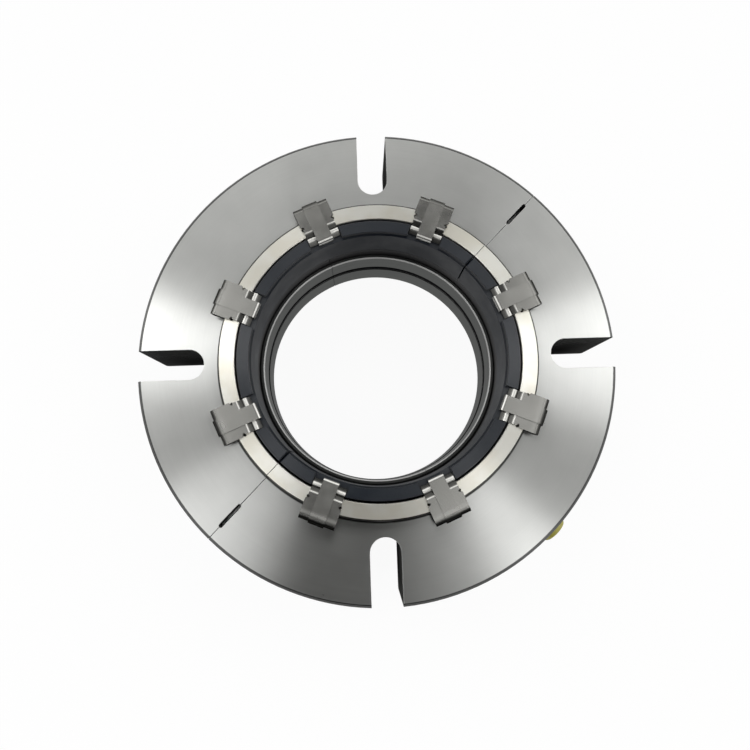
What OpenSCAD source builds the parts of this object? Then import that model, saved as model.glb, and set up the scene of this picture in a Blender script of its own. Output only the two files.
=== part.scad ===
// Cartridge mechanical seal, fully split, for a pump or mixer shaft.
//
// The gland is two identical halves, bolted together across a split at 45 degrees. It lies with its
// back (gasket) face at z = 0, and +Z points away from the machine. Eight pairs of sheet springs clip
// under a raised lip and press the split stationary ring on to the split rotary ring, which turns
// with its clamping holder. All radii are counted from the shaft's axis, which is Z.

/* [Shaft and holder] */
// Diameter of the shaft that the seal is made for
shaft_d = 120; // [116:1:124]
// Radial gap between the shaft and the holder's bore
shaft_gap = 0.5; // [0.4:0.05:0.6]
// How far the shaft O-ring stands out of the holder's bore
shaft_ring_proud = 0.25; // [0.1:0.05:0.3]
// Cord diameter of the shaft O-ring
shaft_cord_d = 3.0; // [2.6:0.1:3.2]
// Wall of the holder's nose, inside the rotary ring
nose_wall = 1.8; // [1.4:0.1:2.4]
// Height of the bevel inside the nose
nose_bevel_h = 1; // [0.5:0.1:4]
// Width of that bevel, seen from above
nose_bevel_w = 0.5; // [0.2:0.1:0.8]
// Length of the holder behind the gland's back face
tail_l = 13; // [9:1:16]
// Wall of the holder's tail
tail_wall = 11; // [9.5:0.5:11.5]
// Height of the holder's collar
collar_h = 19; // [18.5:0.5:20]
// Depth of the cup that takes the rotary ring
cup_depth = 7.5; // [6.5:0.5:8]
// Wall outside the cup
cup_wall = 5.8; // [5:0.1:6.2]
// How far the split plane of the holder is turned from the X axis
holder_split_a = 112.5; // [95:2.5:130]
// Gap between the holder's halves
holder_split_gap = 0.2; // [0.1:0.05:0.4]

/* [Seal rings] */
// Radial gap between the holder's nose and the rotary ring
nose_gap = 1.2; // [0.6:0.1:1.8]
// Width of the rotary ring's sealing nose
face_w = 4.9; // [4:0.1:5.5]
// Step from the sealing nose to the rotary ring's body
face_step = 2.0; // [1.5:0.1:2.5]
// Length of the rotary ring
rotary_l = 10.9; // [10:0.1:12]
// Height of the narrow sealing nose
face_h = 3.0; // [2:0.1:3.4]
// Gap left between the lapped faces
face_film = 0.03; // [0.02:0.01:0.05]
// How much smaller the stationary ring's bore radius is than the rotary ring's
bore_overlap = 0.5; // [0.2:0.1:0.8]
// Wall of the stationary ring
ring_wall = 6.7; // [6:0.1:7.5]
// Length of the stationary ring
ring_l = 24.3; // [23:0.1:25]
// Width of the rebate round the stationary ring's upper bore edge
rebate_w = 0.9; // [0.85:0.05:1.2]
// Depth of that rebate, and of the eight notches
rebate_h = 3.1; // [2.6:0.1:3.6]
// Gap where the stationary ring is parted
ring_split_gap = 0.7; // [0.3:0.1:1]
// Gap where the rotary ring is parted
rotary_split_gap = 0.2; // [0.1:0.05:0.4]
// Bevel on the rings' inner edges at the sealing faces
face_bevel = 0.9; // [0.4:0.1:1.2]
// Cord diameter of the stationary ring's O-ring
ring_cord_d = 4.5; // [4:0.1:4.8]
// Cord diameter of the rotary ring's O-ring
rotary_cord_d = 3.0; // [2.6:0.1:3.2]
// Diameter of the drive pins behind the rotary ring
drive_pin_d = 4; // [3:0.5:4.5]

/* [Gland] */
// Outer diameter of the gland
gland_d = 240; // [238:1:252]
// Thickness of the gland, without its lip
gland_t = 47; // [46:0.5:50]
// Bevel round both edges of the rim
rim_bevel = 1.3; // [0.6:0.1:2]
// Gap between the gland's halves
split_gap = 0.3; // [0.1:0.05:0.6]
// Radial gap between the stationary ring and the gland
ring_gap = 1.2; // [0.8:0.1:1.6]
// Radial wall between the gland's throat and the edge of its chamber
chamber_step = 8.1; // [7.8:0.1:8.6]
// Depth of the chamber's roof below the front face
roof_t = 13; // [12:0.5:14]
// Thickness of the plate behind the chamber
back_t = 5.5; // [5:0.1:6]
// Play of the holder's collar above the back plate
collar_play = 2; // [1.5:0.1:2.5]
// Radial gap round the holder's tail
tail_gap = 2; // [1.5:0.1:2.5]
// Width of the open bolt slots
slot_w = 15.2; // [13:0.1:17]
// Wall between the chamber and the inner end of a slot
slot_wall = 8; // [7:0.5:10]
// Distance of the joining screws and of the pry slots from the rim
screw_edge = 15; // [14:0.5:16]
// Length of a pry slot
pry_l = 14.5; // [10:0.5:16]
// Width of a pry slot
pry_w = 2.0; // [1.6:0.1:2.6]
// Depth of a pry slot
pry_depth = 8; // [4:0.5:10]

/* [Lip] */
// Radial width of the raised lip
lip_w = 8.3; // [7.5:0.1:9]
// Height of the lip above the front face
lip_h = 6.4; // [6:0.1:7]
// Thickness of the lip's overhang
overhang_t = 3; // [2.6:0.1:3.2]
// Radial depth of the groove under the overhang
undercut = 5.7; // [5:0.1:6.2]
// Bevel round the lip's outer edge
lip_bevel = 0.9; // [0.3:0.1:1.2]

/* [Springs] */
// Thickness of the spring sheet
sheet_t = 0.7; // [0.5:0.05:0.8]
// Width of a finger spring where it wraps round the lip
spring_w = 18; // [16:0.1:20]
// Width of its two fingers together, over their outer edges
fingers_w = 16.4; // [15:0.1:17]
// Width of the centre clip
clip_w = 7.8; // [6.5:0.1:9]
// Distance of the bend's centre from the lip's outer edge
bend_reach = 3.6; // [2.5:0.1:4.2]
// Gap between the lip and the flat of the finger spring
bow = 1.2; // [0.9:0.05:1.6]
// Distance of the flat's inner end from the throat, where the sheet bends down
knee_reach = 0.8; // [0.6:0.05:1.4]
// Distance of the fingers' low bend inwards from the throat's edge under their outer sides
dip_reach = 0.65; // [0.55:0.05:0.8]
// Depth of that bend's corner below the lip's top
dip_drop = 0.25; // [0:0.05:0.35]
// Distance from the low bend inwards to the crest of the fingers
crest_reach = 1.3; // [1.25:0.05:1.6]
// Height of the crest's corner above the lip
crest_h = 0.55; // [0.35:0.05:0.8]
// Radius of the fingers' two bends beside the throat's edge
tight_bend = 0.6; // [0.5:0.05:0.65]
// Radius of the bend at the fingers' crest
crest_bend = 1; // [0.8:0.05:1.1]
// Radius of the clips' bend above their tabs
tab_bend = 0.8; // [0.6:0.05:1.5]
// Distance from the lip's outer edge to the step where the spring gets narrower
step_reach = 4.7; // [4:0.1:5.5]
// Distance from the throat to the roots of the fingers
root_reach = 2.2; // [1.5:0.1:3]
// Radius of the nicks beside the step
nick_r = 0.55; // [0.4:0.05:0.8]
// How far the clip laps over each finger
clip_lap = 0.3; // [0.2:0.05:0.6]
// Gap between the lower legs and the wall of the lip's groove
leg_gap = 1.1; // [0.8:0.1:1.6]
// Gap between sheets that lie on each other
sheet_gap = 0.02; // [0.01:0.01:0.05]
// Gap between the fingers and the stationary ring's notch floor
finger_gap = 0.1; // [0.05:0.05:0.2]
// Gap on each side of the fingers in their notch
notch_gap = 0.5; // [0.3:0.1:0.8]

/* [Joining screws] */
// Thread diameter of the gland's joining screws
gland_screw_d = 12; // [10:1:12]
// Distance from the split to the seat of the gland screw's head
gland_seat = 20; // [18:1:22]
// Thread diameter of the holder's joining screws
holder_screw_d = 6; // [5:0.5:6]
// Distance from the split to the seat of the holder screw's head
holder_seat = 8; // [7:0.5:9]

/* [Flush ports] */
// Bore of the threaded part of a flush port
port_d = 11.5; // [10:0.1:13]
// Depth of the threaded part
port_thread_l = 16; // [14:1:18]
// Diameter of the drilling from the port to the chamber
port_drill_d = 8; // [6:0.5:9]
// Height of the ports above the back face
port_z = 21.5; // [20:0.5:23]
// Diameter of the plug's cap where it meets the rim
plug_d = 16; // [14:0.5:18]
// Length of the cap outside the rim
plug_l = 7.3; // [5:0.1:9]
// How much narrower the cap is at its outer end
plug_taper = 2.2; // [1:0.1:3]

/* [Gaskets] */
// Inner radius of the back gasket's groove, counted from the throat of the back plate
gasket_in = 4; // [3:0.5:5]
// Width of the back gasket
gasket_w = 6; // [5:0.5:7]
// Depth of the back gasket's groove
gasket_groove = 2; // [1.5:0.1:2.2]
// How far the back gasket stands out of its groove
gasket_proud = 0.5; // [0.3:0.1:0.8]
// Thickness of the cords in the gland's split faces
cord_t = 2.8; // [2.4:0.1:3.2]
// Width of those cords
cord_w = 3; // [2.6:0.1:3.4]
// Distance of the cord's long leg from the chamber
cord_in = 1.6; // [1:0.1:2]
// Thickness of the cords in the holder's split faces
holder_cord_t = 1.4; // [1.2:0.1:1.6]
// Width of those cords
holder_cord_w = 1.6; // [1.4:0.1:1.8]

/* [Hidden] */
$fn = 144;
fine_fn = 48;
far = 400;
seat_gap = 0.05;
small_edge = 0.3;
ring_edge = 0.6;
groove_play = 0.4;
screw_play = 0.8;
head_ratio = 1.5;

SPRINGS = 8;
first_spring_a = 22.5;
gland_split_a = 45;
port_a = -45;

// Radii, from the shaft outwards
bore_r = shaft_d / 2 + shaft_gap;
nose_r = bore_r + nose_wall;
rotary_in_r = nose_r + nose_gap;
face_r = rotary_in_r + face_w;
rotary_r = face_r + face_step;
cup_r = rotary_r + 3 * seat_gap;
collar_r = cup_r + cup_wall;
tail_r = bore_r + tail_wall;
ring_in_r = rotary_in_r - bore_overlap;
ring_r = ring_in_r + ring_wall;
throat_r = ring_r + ring_gap;
lip_r = throat_r + lip_w;
chamber_r = throat_r + chamber_step;
back_r = tail_r + tail_gap;
slot_end_r = chamber_r + slot_wall;
rim_r = gland_d / 2;
screw_r = rim_r - screw_edge;
gasket_r = back_r + gasket_in;

// Heights above the back face
lip_z = gland_t + lip_h;
overhang_z = lip_z - overhang_t;
roof_z = gland_t - roof_t;
collar_z = back_t + collar_play;
collar_top_z = collar_z + collar_h;
cup_z = collar_top_z - cup_depth;
rotary_face_z = cup_z + rotary_l;
ring_face_z = rotary_face_z + face_film;
ring_top_z = ring_face_z + ring_l;
notch_z = ring_top_z - rebate_h;

// The holder's nose ends level with the lower part of the rotary ring's sealing nose
nose_z = rotary_face_z - 2 * face_h;

// O-ring grooves
shaft_ring_r = bore_r - shaft_ring_proud + shaft_cord_d / 2;
shaft_ring_z = (collar_z + back_t) / 2;
shaft_groove_w = shaft_cord_d + 2 * groove_play;
shaft_groove_r = shaft_ring_r + shaft_cord_d / 2 + seat_gap;
rotary_ring_z = (cup_z + rotary_face_z - face_h) / 2;
rotary_groove_r = rotary_r + rotary_cord_d + 2 * seat_gap;
rotary_groove_w = rotary_cord_d + groove_play;
ring_groove_z = roof_z + roof_t / 2;
ring_groove_w = ring_cord_d + groove_play;
ring_groove_r = ring_r + ring_cord_d + 4 * seat_gap;

// Springs
finger_slot_w = clip_w - 2 * clip_lap;
notch_w = fingers_w + 2 * notch_gap;
bend_r = lip_r + bend_reach;
leg_end_r = lip_r - undercut + leg_gap;
finger_low_z = overhang_z - sheet_gap - sheet_t / 2;
tip_z = notch_z + finger_gap + sheet_t / 2;
// A ring whose notches come above the fingers' low bend lifts the springs' upper sides
notch_lift = max(0, tip_z - (lip_z - dip_drop));
flat_z = lip_z + bow + sheet_gap + sheet_t / 2 + notch_lift;
outer_bend = (flat_z - finger_low_z) / 2;
knee_r = throat_r + knee_reach;
dip_r = sqrt(throat_r * throat_r - fingers_w * fingers_w / 4) - dip_reach;
crest_r = dip_r - crest_reach;
tip_r = ring_r - 0.6 * ring_wall;
step_r = lip_r - step_reach;
outer_bend_share = 0.92;

// Screws of the holder
holder_screw_r = (collar_r + shaft_groove_r) / 2;
holder_screw_z = (collar_z + cup_z) / 2;

// Drive pins, halfway out under the rotary ring
drive_pin_r = (rotary_in_r + rotary_r) / 2;
drive_pin_h = rotary_l / 3;

function spring_a(i) = first_spring_a + (i - 1) * 360 / SPRINGS;

// Points of an arc of radius r that rounds the corner b between a and c
function rounded(a, b, c, r) =
    let(u = (a - b) / norm(a - b),
        v = (c - b) / norm(c - b),
        half = acos(u * v) / 2,
        m = b + (u + v) / norm(u + v) * r / sin(half),
        p = b + u * r / tan(half) - m,
        q = b + v * r / tan(half) - m,
        turn = atan2(p.x * q.y - p.y * q.x, p * q),
        n = ceil(abs(turn) / 18))
    [for (i = [0:n])
        m + r * [cos(atan2(p.y, p.x) + turn * i / n), sin(atan2(p.y, p.x) + turn * i / n)]];

// A bent line: each stop is [point, bend radius]
function bent(stops) =
    let(last = len(stops) - 1)
    [for (i = [0:last])
        each (i == 0 || i == last ? [stops[i][0]]
              : rounded(stops[i - 1][0], stops[i][0], stops[i + 1][0], stops[i][1]))];

function side_step(line, i) =
    let(a = line[max(i - 1, 0)],
        c = line[min(i + 1, len(line) - 1)],
        d = (c - a) / norm(c - a))
    [-d.y, d.x];

// Outline of a sheet of thickness t along a bent line
function sheet_outline(line, t) =
    concat([for (i = [0:len(line) - 1]) line[i] + side_step(line, i) * t / 2],
           [for (i = [len(line) - 1:-1:0]) line[i] - side_step(line, i) * t / 2]);

// Keeps what lies on the left of a plane through the axis, less half of the split's gap
module left_of(angle, gap) {
    intersection() {
        children();
        rotate(angle) translate([-far, gap / 2, -far]) cube([2 * far, far, 2 * far]);
    }
}

// A half turned on to the other side of its split
module opposite() {
    rotate(180) children();
}

// Lays something made along +Z so that it runs across the split, at radius r and height z
module across_split(angle, r, z) {
    rotate(angle) translate([r, 0, z]) rotate([-90, 0, 0]) children();
}

// Lays something made along +Z so that it runs outwards from the axis at height z
module outwards(angle, z) {
    rotate(angle) translate([0, 0, z]) rotate([0, 90, 0]) children();
}

// A plan shape with round ends, lying along X
module slot_plan(length, width) {
    straight_l = length - width;
    square([straight_l, width], center = true);
    for (s = [-1, 1]) translate([s * straight_l / 2, 0]) circle(d = width, $fn = fine_fn);
}

module o_ring(r, z, cord_d) {
    rotate_extrude() translate([r, z]) circle(d = cord_d, $fn = fine_fn);
}

// Socket-head cap screw along +Z: the head's seat is at z = 0 and the shank runs down
module cap_screw(d, length) {
    head_d = head_ratio * d;
    edge = 0.06 * d;
    socket_depth = 0.55 * d;
    socket_d = 0.96 * d;
    difference() {
        rotate_extrude($fn = fine_fn) polygon([
            [0, -length], [d / 2 - edge, -length], [d / 2, -length + edge], [d / 2, 0],
            [head_d / 2, 0], [head_d / 2, d - edge], [head_d / 2 - edge, d], [0, d]]);
        translate([0, 0, d - socket_depth]) cylinder(d = socket_d, h = d, $fn = 6);
    }
}

// Clearance hole, head pocket and tapped hole for a cap screw whose seat is at +seat
module screw_space(d, seat, pocket_l) {
    runout = 0.35 * d;
    translate([0, 0, -seat - runout]) cylinder(d = d, h = 2 * seat, $fn = fine_fn);
    cylinder(d = d + screw_play, h = seat + d, $fn = fine_fn);
    translate([0, 0, seat])
        cylinder(d = head_ratio * d + screw_play, h = pocket_l, $fn = fine_fn);
}

module gland_profile() {
    neck_r = lip_r - undercut;
    difference() {
        polygon([
            [back_r, 0], [rim_r - rim_bevel, 0], [rim_r, rim_bevel],
            [rim_r, gland_t - rim_bevel], [rim_r - rim_bevel, gland_t],
            [neck_r, gland_t], [neck_r, overhang_z], [lip_r, overhang_z],
            [lip_r, lip_z - lip_bevel], [lip_r - lip_bevel, lip_z],
            [throat_r + small_edge, lip_z], [throat_r, lip_z - small_edge],
            [throat_r, roof_z], [chamber_r, roof_z],
            [chamber_r, back_t], [back_r, back_t]]);
        translate([throat_r - 1, ring_groove_z - ring_groove_w / 2])
            square([ring_groove_r - throat_r + 1, ring_groove_w]);
        translate([gasket_r, -1]) square([gasket_w, 1 + gasket_groove]);
    }
}

// L-shaped outline, in a split face, of the cord between the back gasket and the ring's O-ring.
// Its groove has some room round the cord, and opens into both of theirs by reach
module gland_cord_outline(room, reach) {
    leg_r = chamber_r + cord_in;
    arm_z = ring_groove_z - cord_w / 2;
    translate([leg_r - room, gasket_groove - reach])
        square([cord_w + 2 * room, arm_z + cord_w - gasket_groove + reach + room]);
    translate([ring_groove_r - reach, arm_z - room])
        square([leg_r - ring_groove_r + reach + cord_w / 2, cord_w + 2 * room]);
}

module in_split(angle, thickness) {
    rotate(angle) rotate([90, 0, 0]) linear_extrude(thickness, center = true) children();
}

module gland_half() {
    left_of(gland_split_a, split_gap) difference() {
        rotate_extrude() gland_profile();
        for (a = [90, 180]) rotate(a) translate([slot_end_r + slot_w / 2, 0, -1]) {
            cylinder(d = slot_w, h = gland_t + 2, $fn = fine_fn);
            translate([0, -slot_w / 2, 0]) cube([gland_d / 2, slot_w, gland_t + 2]);
        }
        for (a = [gland_split_a, gland_split_a + 180])
            rotate(a) translate([screw_r, 0, gland_t - pry_depth])
                linear_extrude(pry_depth + 1) slot_plan(pry_l, pry_w);
        for (a = [gland_split_a, gland_split_a + 180]) across_split(a, screw_r, port_z)
            screw_space(gland_screw_d, gland_seat, gland_d / 2);
        for (a = [gland_split_a, gland_split_a + 180])
            in_split(a, cord_t + 2 * seat_gap) gland_cord_outline(seat_gap, 1);
        outwards(port_a + 180, port_z) {
            cylinder(d = port_drill_d, h = gland_d / 2, $fn = fine_fn);
            translate([0, 0, rim_r - port_thread_l])
                cylinder(d = port_d, h = gland_d / 2, $fn = fine_fn);
        }
    }
}

module gland_half_a() {
    color("#c9ccca") gland_half();
}

module gland_half_b() {
    color("#c9ccca") opposite() gland_half();
}

module gland_screw(angle) {
    color("#55585a") across_split(angle, screw_r, port_z)
        translate([0, 0, gland_seat]) cap_screw(gland_screw_d, 2 * gland_seat);
}

module gland_cord(angle) {
    color("#1c1c1e") in_split(angle, cord_t) gland_cord_outline(0, 0);
}

module face_gasket() {
    color("#2a2a2c") left_of(gland_split_a, split_gap) rotate_extrude()
        translate([gasket_r + seat_gap, -gasket_proud])
            square([gasket_w - 2 * seat_gap, gasket_groove + gasket_proud]);
}

// Moulded plug in the lower right port: a tapered cap that fits the rim, and a stem in the thread
module flush_plug() {
    cap_end_d = plug_d - plug_taper;
    edge = 0.8;
    cap_z = rim_r + plug_l;
    stem_d = port_d - 2 * seat_gap;
    color("#8a8232") {
        difference() {
            outwards(port_a, port_z) rotate_extrude($fn = fine_fn) polygon([
                [0, rim_r - port_thread_l], [plug_d / 2, rim_r - port_thread_l], [plug_d / 2, rim_r],
                [cap_end_d / 2, cap_z - edge], [cap_end_d / 2 - edge, cap_z], [0, cap_z]]);
            cylinder(r = rim_r + seat_gap, h = gland_t);
        }
        outwards(port_a, port_z) translate([0, 0, rim_r - port_thread_l + 1.5])
            cylinder(d = stem_d, h = port_thread_l, $fn = fine_fn);
    }
}

// Stationary ring, parted in two, with a notch for each finger spring
module stationary_half() {
    part_bevel = 0.5;
    left_of(gland_split_a, ring_split_gap) difference() {
        rotate_extrude() polygon([
            [ring_in_r + face_bevel, ring_face_z], [ring_r - ring_edge, ring_face_z],
            [ring_r, ring_face_z + ring_edge], [ring_r, ring_top_z - small_edge],
            [ring_r - small_edge, ring_top_z],
            [ring_in_r + rebate_w, ring_top_z], [ring_in_r + rebate_w, notch_z],
            [ring_in_r, notch_z], [ring_in_r, ring_face_z + face_bevel]]);
        for (i = [1:SPRINGS]) rotate(spring_a(i))
            translate([ring_in_r - 1, -notch_w / 2, notch_z])
                cube([ring_wall + 3, notch_w, rebate_h + 1]);
        rotate(gland_split_a) translate([0, 0, ring_top_z]) rotate([45, 0, 0])
            cube([gland_d, ring_split_gap + part_bevel, ring_split_gap + part_bevel], center = true);
    }
}

module stationary_half_a() {
    color("#2f363c") stationary_half();
}

module stationary_half_b() {
    color("#2f363c") opposite() stationary_half();
}

module stationary_o_ring() {
    color("#141416") o_ring(ring_r + 3 * seat_gap + ring_cord_d / 2, ring_groove_z, ring_cord_d);
}

// Bent line of the finger spring: leg under the lip, bend, flat over the lip, and a hooked finger
function finger_line() =
    bent([[[leg_end_r, finger_low_z], 0],
          [[bend_r + outer_bend, finger_low_z], outer_bend * outer_bend_share],
          [[bend_r + outer_bend, flat_z], outer_bend * outer_bend_share],
          [[knee_r, flat_z], tight_bend],
          [[dip_r, lip_z - dip_drop + notch_lift], tight_bend],
          [[crest_r, lip_z + crest_h + notch_lift], crest_bend],
          [[tip_r, tip_z], 0]]);

// Bent line of the centre clip, which lies round the finger spring and ends in a tab
function clip_line() =
    let(lift = sheet_t + sheet_gap,
        low_z = finger_low_z - lift,
        high_z = flat_z + lift,
        clip_outer_bend = outer_bend + lift,
        tab_r = ring_in_r + 3 * seat_gap + sheet_t / 2)
    bent([[[leg_end_r, low_z], 0],
          [[bend_r + clip_outer_bend, low_z], clip_outer_bend * outer_bend_share],
          [[bend_r + clip_outer_bend, high_z], clip_outer_bend * outer_bend_share],
          [[tab_r, high_z], tab_bend],
          [[tab_r, notch_z + finger_gap], 0]]);

// Plan of the finger spring, with its slot and the two relief nicks
module finger_plan() {
    outer_r = bend_r + lip_w;
    difference() {
        union() {
            translate([step_r, -spring_w / 2]) square([outer_r - step_r, spring_w]);
            translate([ring_in_r, -fingers_w / 2]) square([outer_r - ring_in_r, fingers_w]);
        }
        translate([ring_in_r - 1, -finger_slot_w / 2])
            square([throat_r + root_reach - ring_in_r + 1, finger_slot_w]);
        for (s = [-1, 1]) translate([step_r, s * fingers_w / 2])
            circle(r = nick_r, $fn = fine_fn);
    }
}

module sheet_piece(line, width) {
    rotate([90, 0, 0]) linear_extrude(width, center = true) polygon(sheet_outline(line, sheet_t));
}

module finger_spring(i) {
    color("#a3a39c") rotate(spring_a(i)) intersection() {
        sheet_piece(finger_line(), spring_w);
        linear_extrude(2 * gland_t) finger_plan();
    }
}

module centre_clip(i) {
    color("#b4b4ac") rotate(spring_a(i)) sheet_piece(clip_line(), clip_w);
}

// Rotary ring, parted in two, with a blind hole for its drive pin
module rotary_half() {
    left_of(holder_split_a, rotary_split_gap) difference() {
        rotate_extrude() polygon([
            [rotary_in_r, cup_z + ring_edge], [rotary_in_r + ring_edge, cup_z],
            [rotary_r - ring_edge, cup_z], [rotary_r, cup_z + ring_edge],
            [rotary_r, rotary_face_z - face_h],
            [face_r, rotary_face_z - face_h], [face_r, rotary_face_z],
            [rotary_in_r + face_bevel, rotary_face_z], [rotary_in_r, rotary_face_z - face_bevel]]);
        rotate(holder_split_a + 90) translate([drive_pin_r, 0, cup_z - 1])
            cylinder(d = drive_pin_d + 4 * seat_gap, h = drive_pin_h + 1.5, $fn = fine_fn);
    }
}

module rotary_half_a() {
    color("#3a3a3c") rotary_half();
}

module rotary_half_b() {
    color("#3a3a3c") opposite() rotary_half();
}

module rotary_o_ring() {
    color("#141416") o_ring(rotary_r + seat_gap + rotary_cord_d / 2, rotary_ring_z, rotary_cord_d);
}

module drive_pin(angle) {
    color("#8e9092") rotate(angle) translate([drive_pin_r, 0, cup_z - drive_pin_h])
        cylinder(d = drive_pin_d, h = 2 * drive_pin_h, $fn = fine_fn);
}

// Holder: a split clamp with a tail, a collar and a cup for the rotary ring
module holder_profile() {
    edge = 1;
    difference() {
        polygon([
            [bore_r + edge, -tail_l], [tail_r - edge, -tail_l], [tail_r, -tail_l + edge],
            [tail_r, collar_z], [collar_r - edge, collar_z], [collar_r, collar_z + edge],
            [collar_r, collar_top_z - edge], [collar_r - edge, collar_top_z],
            [cup_r, collar_top_z], [cup_r, cup_z], [nose_r, cup_z], [nose_r, nose_z],
            [nose_r - small_edge, nose_z], [bore_r + nose_bevel_w, nose_z],
            [bore_r, nose_z - nose_bevel_h],
            [bore_r, -tail_l + edge]]);
        translate([bore_r - 1, shaft_ring_z - shaft_groove_w / 2])
            square([shaft_groove_r - bore_r + 1, shaft_groove_w]);
        translate([cup_r - 1, rotary_ring_z - rotary_groove_w / 2])
            square([rotary_groove_r - cup_r + 1, rotary_groove_w]);
    }
}

// Outline, in a split face, of the cord that closes the holder's split
module holder_cord_outline(room) {
    cord_r = shaft_groove_r + small_edge;
    cord_top_z = cup_z - seat_gap;
    translate([cord_r - room, shaft_ring_z - room])
        square([holder_cord_w + 2 * room, cord_top_z - shaft_ring_z + 2 * room]);
}

module holder_half() {
    left_of(holder_split_a, holder_split_gap) difference() {
        rotate_extrude() holder_profile();
        for (a = [0, 180]) across_split(holder_split_a + a, holder_screw_r, holder_screw_z)
            screw_space(holder_screw_d, holder_seat, collar_r);
        for (a = [0, 180]) in_split(holder_split_a + a, holder_cord_t + 2 * seat_gap)
            holder_cord_outline(seat_gap);
        rotate(holder_split_a + 90) translate([drive_pin_r, 0, cup_z - drive_pin_h])
            cylinder(d = drive_pin_d, h = drive_pin_h + 1, $fn = fine_fn);
    }
}

module holder_half_a() {
    color("#8b8d8c") holder_half();
}

module holder_half_b() {
    color("#8b8d8c") opposite() holder_half();
}

module holder_screw(angle) {
    color("#55585a") across_split(angle, holder_screw_r, holder_screw_z)
        translate([0, 0, holder_seat]) cap_screw(holder_screw_d, 2 * holder_seat);
}

module holder_cord(angle) {
    color("#1c1c1e") in_split(angle, holder_cord_t) holder_cord_outline(0);
}

module shaft_o_ring() {
    color("#101012") o_ring(shaft_ring_r, shaft_ring_z, shaft_cord_d);
}

gland_half_a();
gland_half_b();
gland_screw(gland_split_a);  // gland_screw_a
gland_screw(gland_split_a + 180);  // gland_screw_b
gland_cord(gland_split_a);  // gland_cord_a
gland_cord(gland_split_a + 180);  // gland_cord_b
face_gasket();  // face_gasket_a
opposite() face_gasket();  // face_gasket_b
flush_plug();
stationary_half_a();
stationary_half_b();
stationary_o_ring();
for (i = [1:SPRINGS]) {
    finger_spring(i);
    centre_clip(i);
}
rotary_half_a();
rotary_half_b();
rotary_o_ring();
drive_pin(holder_split_a + 90);  // drive_pin_a
drive_pin(holder_split_a + 270);  // drive_pin_b
holder_half_a();
holder_half_b();
holder_screw(holder_split_a);  // holder_screw_a
holder_screw(holder_split_a + 180);  // holder_screw_b
holder_cord(holder_split_a);  // holder_cord_a
holder_cord(holder_split_a + 180);  // holder_cord_b
shaft_o_ring();
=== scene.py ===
# %% [markdown]
# # A split cartridge mechanical seal
#
# This lesson dresses a finished CAD model of a shaft seal: the ring-shaped cartridge that is bolted
# to a pump round its shaft. The hard shapes come ready from CAD and stay as they are. Blender gives
# them metal, carbide, rubber and plastic, makes the thin bent sheet springs again with fine curves,
# and lights the whole as a studio photograph of it would be lit.

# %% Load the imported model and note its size
import math

import bpy
import numpy as np
from mathutils import Euler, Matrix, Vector


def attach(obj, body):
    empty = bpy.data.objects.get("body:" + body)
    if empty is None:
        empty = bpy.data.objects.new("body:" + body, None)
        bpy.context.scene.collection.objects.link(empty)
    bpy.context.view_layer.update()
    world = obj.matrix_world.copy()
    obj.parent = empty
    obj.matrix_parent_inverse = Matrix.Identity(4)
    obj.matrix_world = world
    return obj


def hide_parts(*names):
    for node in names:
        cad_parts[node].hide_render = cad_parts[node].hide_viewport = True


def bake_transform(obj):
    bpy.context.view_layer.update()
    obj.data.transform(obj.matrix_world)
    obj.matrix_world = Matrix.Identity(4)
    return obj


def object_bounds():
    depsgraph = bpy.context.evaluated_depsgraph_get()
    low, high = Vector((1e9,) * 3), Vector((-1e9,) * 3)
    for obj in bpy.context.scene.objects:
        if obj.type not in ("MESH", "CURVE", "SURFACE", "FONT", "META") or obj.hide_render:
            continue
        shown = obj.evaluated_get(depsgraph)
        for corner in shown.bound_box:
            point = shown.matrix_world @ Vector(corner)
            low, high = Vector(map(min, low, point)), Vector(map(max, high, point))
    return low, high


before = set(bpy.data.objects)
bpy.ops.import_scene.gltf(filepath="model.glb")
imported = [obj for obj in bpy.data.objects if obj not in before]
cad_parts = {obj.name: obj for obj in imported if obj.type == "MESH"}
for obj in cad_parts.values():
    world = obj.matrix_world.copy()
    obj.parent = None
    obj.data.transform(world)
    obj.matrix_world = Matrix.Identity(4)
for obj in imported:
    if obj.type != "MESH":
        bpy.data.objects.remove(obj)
cad_box = [list(corner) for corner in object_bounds()]
MM = 0.001
print("CAD box in mm:", [[round(v / MM, 1) for v in corner] for corner in cad_box])

# %% [markdown]
# ## The camera
#
# The picture was taken from above, a little off the axis and leaning, so the far walls of the four
# bolt slots show. The camera sits 354 mm over the back face, and three small turns do the leaning.

# %% Camera
camera_data = bpy.data.cameras.new("camera")
camera_data.sensor_width = 36
camera_data.lens = 29.858
camera_data.shift_x = -0.0011
camera_data.shift_y = 0.0002
camera_data.clip_start = 0.01
camera_data.clip_end = 20
camera = bpy.data.objects.new("camera", camera_data)
camera.location = (-0.010224, -0.052788, 0.354092)
camera.rotation_mode = "ZXY"
camera.rotation_euler = Euler((0.1443, -0.0275, -0.0355), "ZXY")
bpy.context.collection.objects.link(camera)
bpy.context.scene.camera = camera
print("camera stands", round(camera.location.length / MM), "mm from the middle of the back face")

# %% [markdown]
# ## Helpers for node trees
#
# Materials are graphs of small nodes. A few helpers keep the graphs short. `add` makes a node and
# fills its sockets, from numbers or from other nodes. The seal is round, so `round_axis` works out
# where a point lies about the shaft. `new_group` starts a shader node group, whose named inputs and
# outputs can be used in many materials.

# %% Node helpers
def add(tree, kind, sockets=None, **settings):
    """Adds a node, sets its properties, then fills its input sockets with values or with links."""
    made = tree.nodes.new(kind)
    for key, value in settings.items():
        setattr(made, key, value)
    for key, value in (sockets or {}).items():
        if isinstance(value, bpy.types.NodeSocket):
            tree.links.new(value, made.inputs[key])
        else:
            made.inputs[key].default_value = value
    return made


def calc(tree, operation, a, b=0.0, c=0.0, clamp=False):
    """One Math node: returns its output socket."""
    return add(tree, "ShaderNodeMath", {0: a, 1: b, 2: c},
               operation=operation, use_clamp=clamp).outputs[0]


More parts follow.
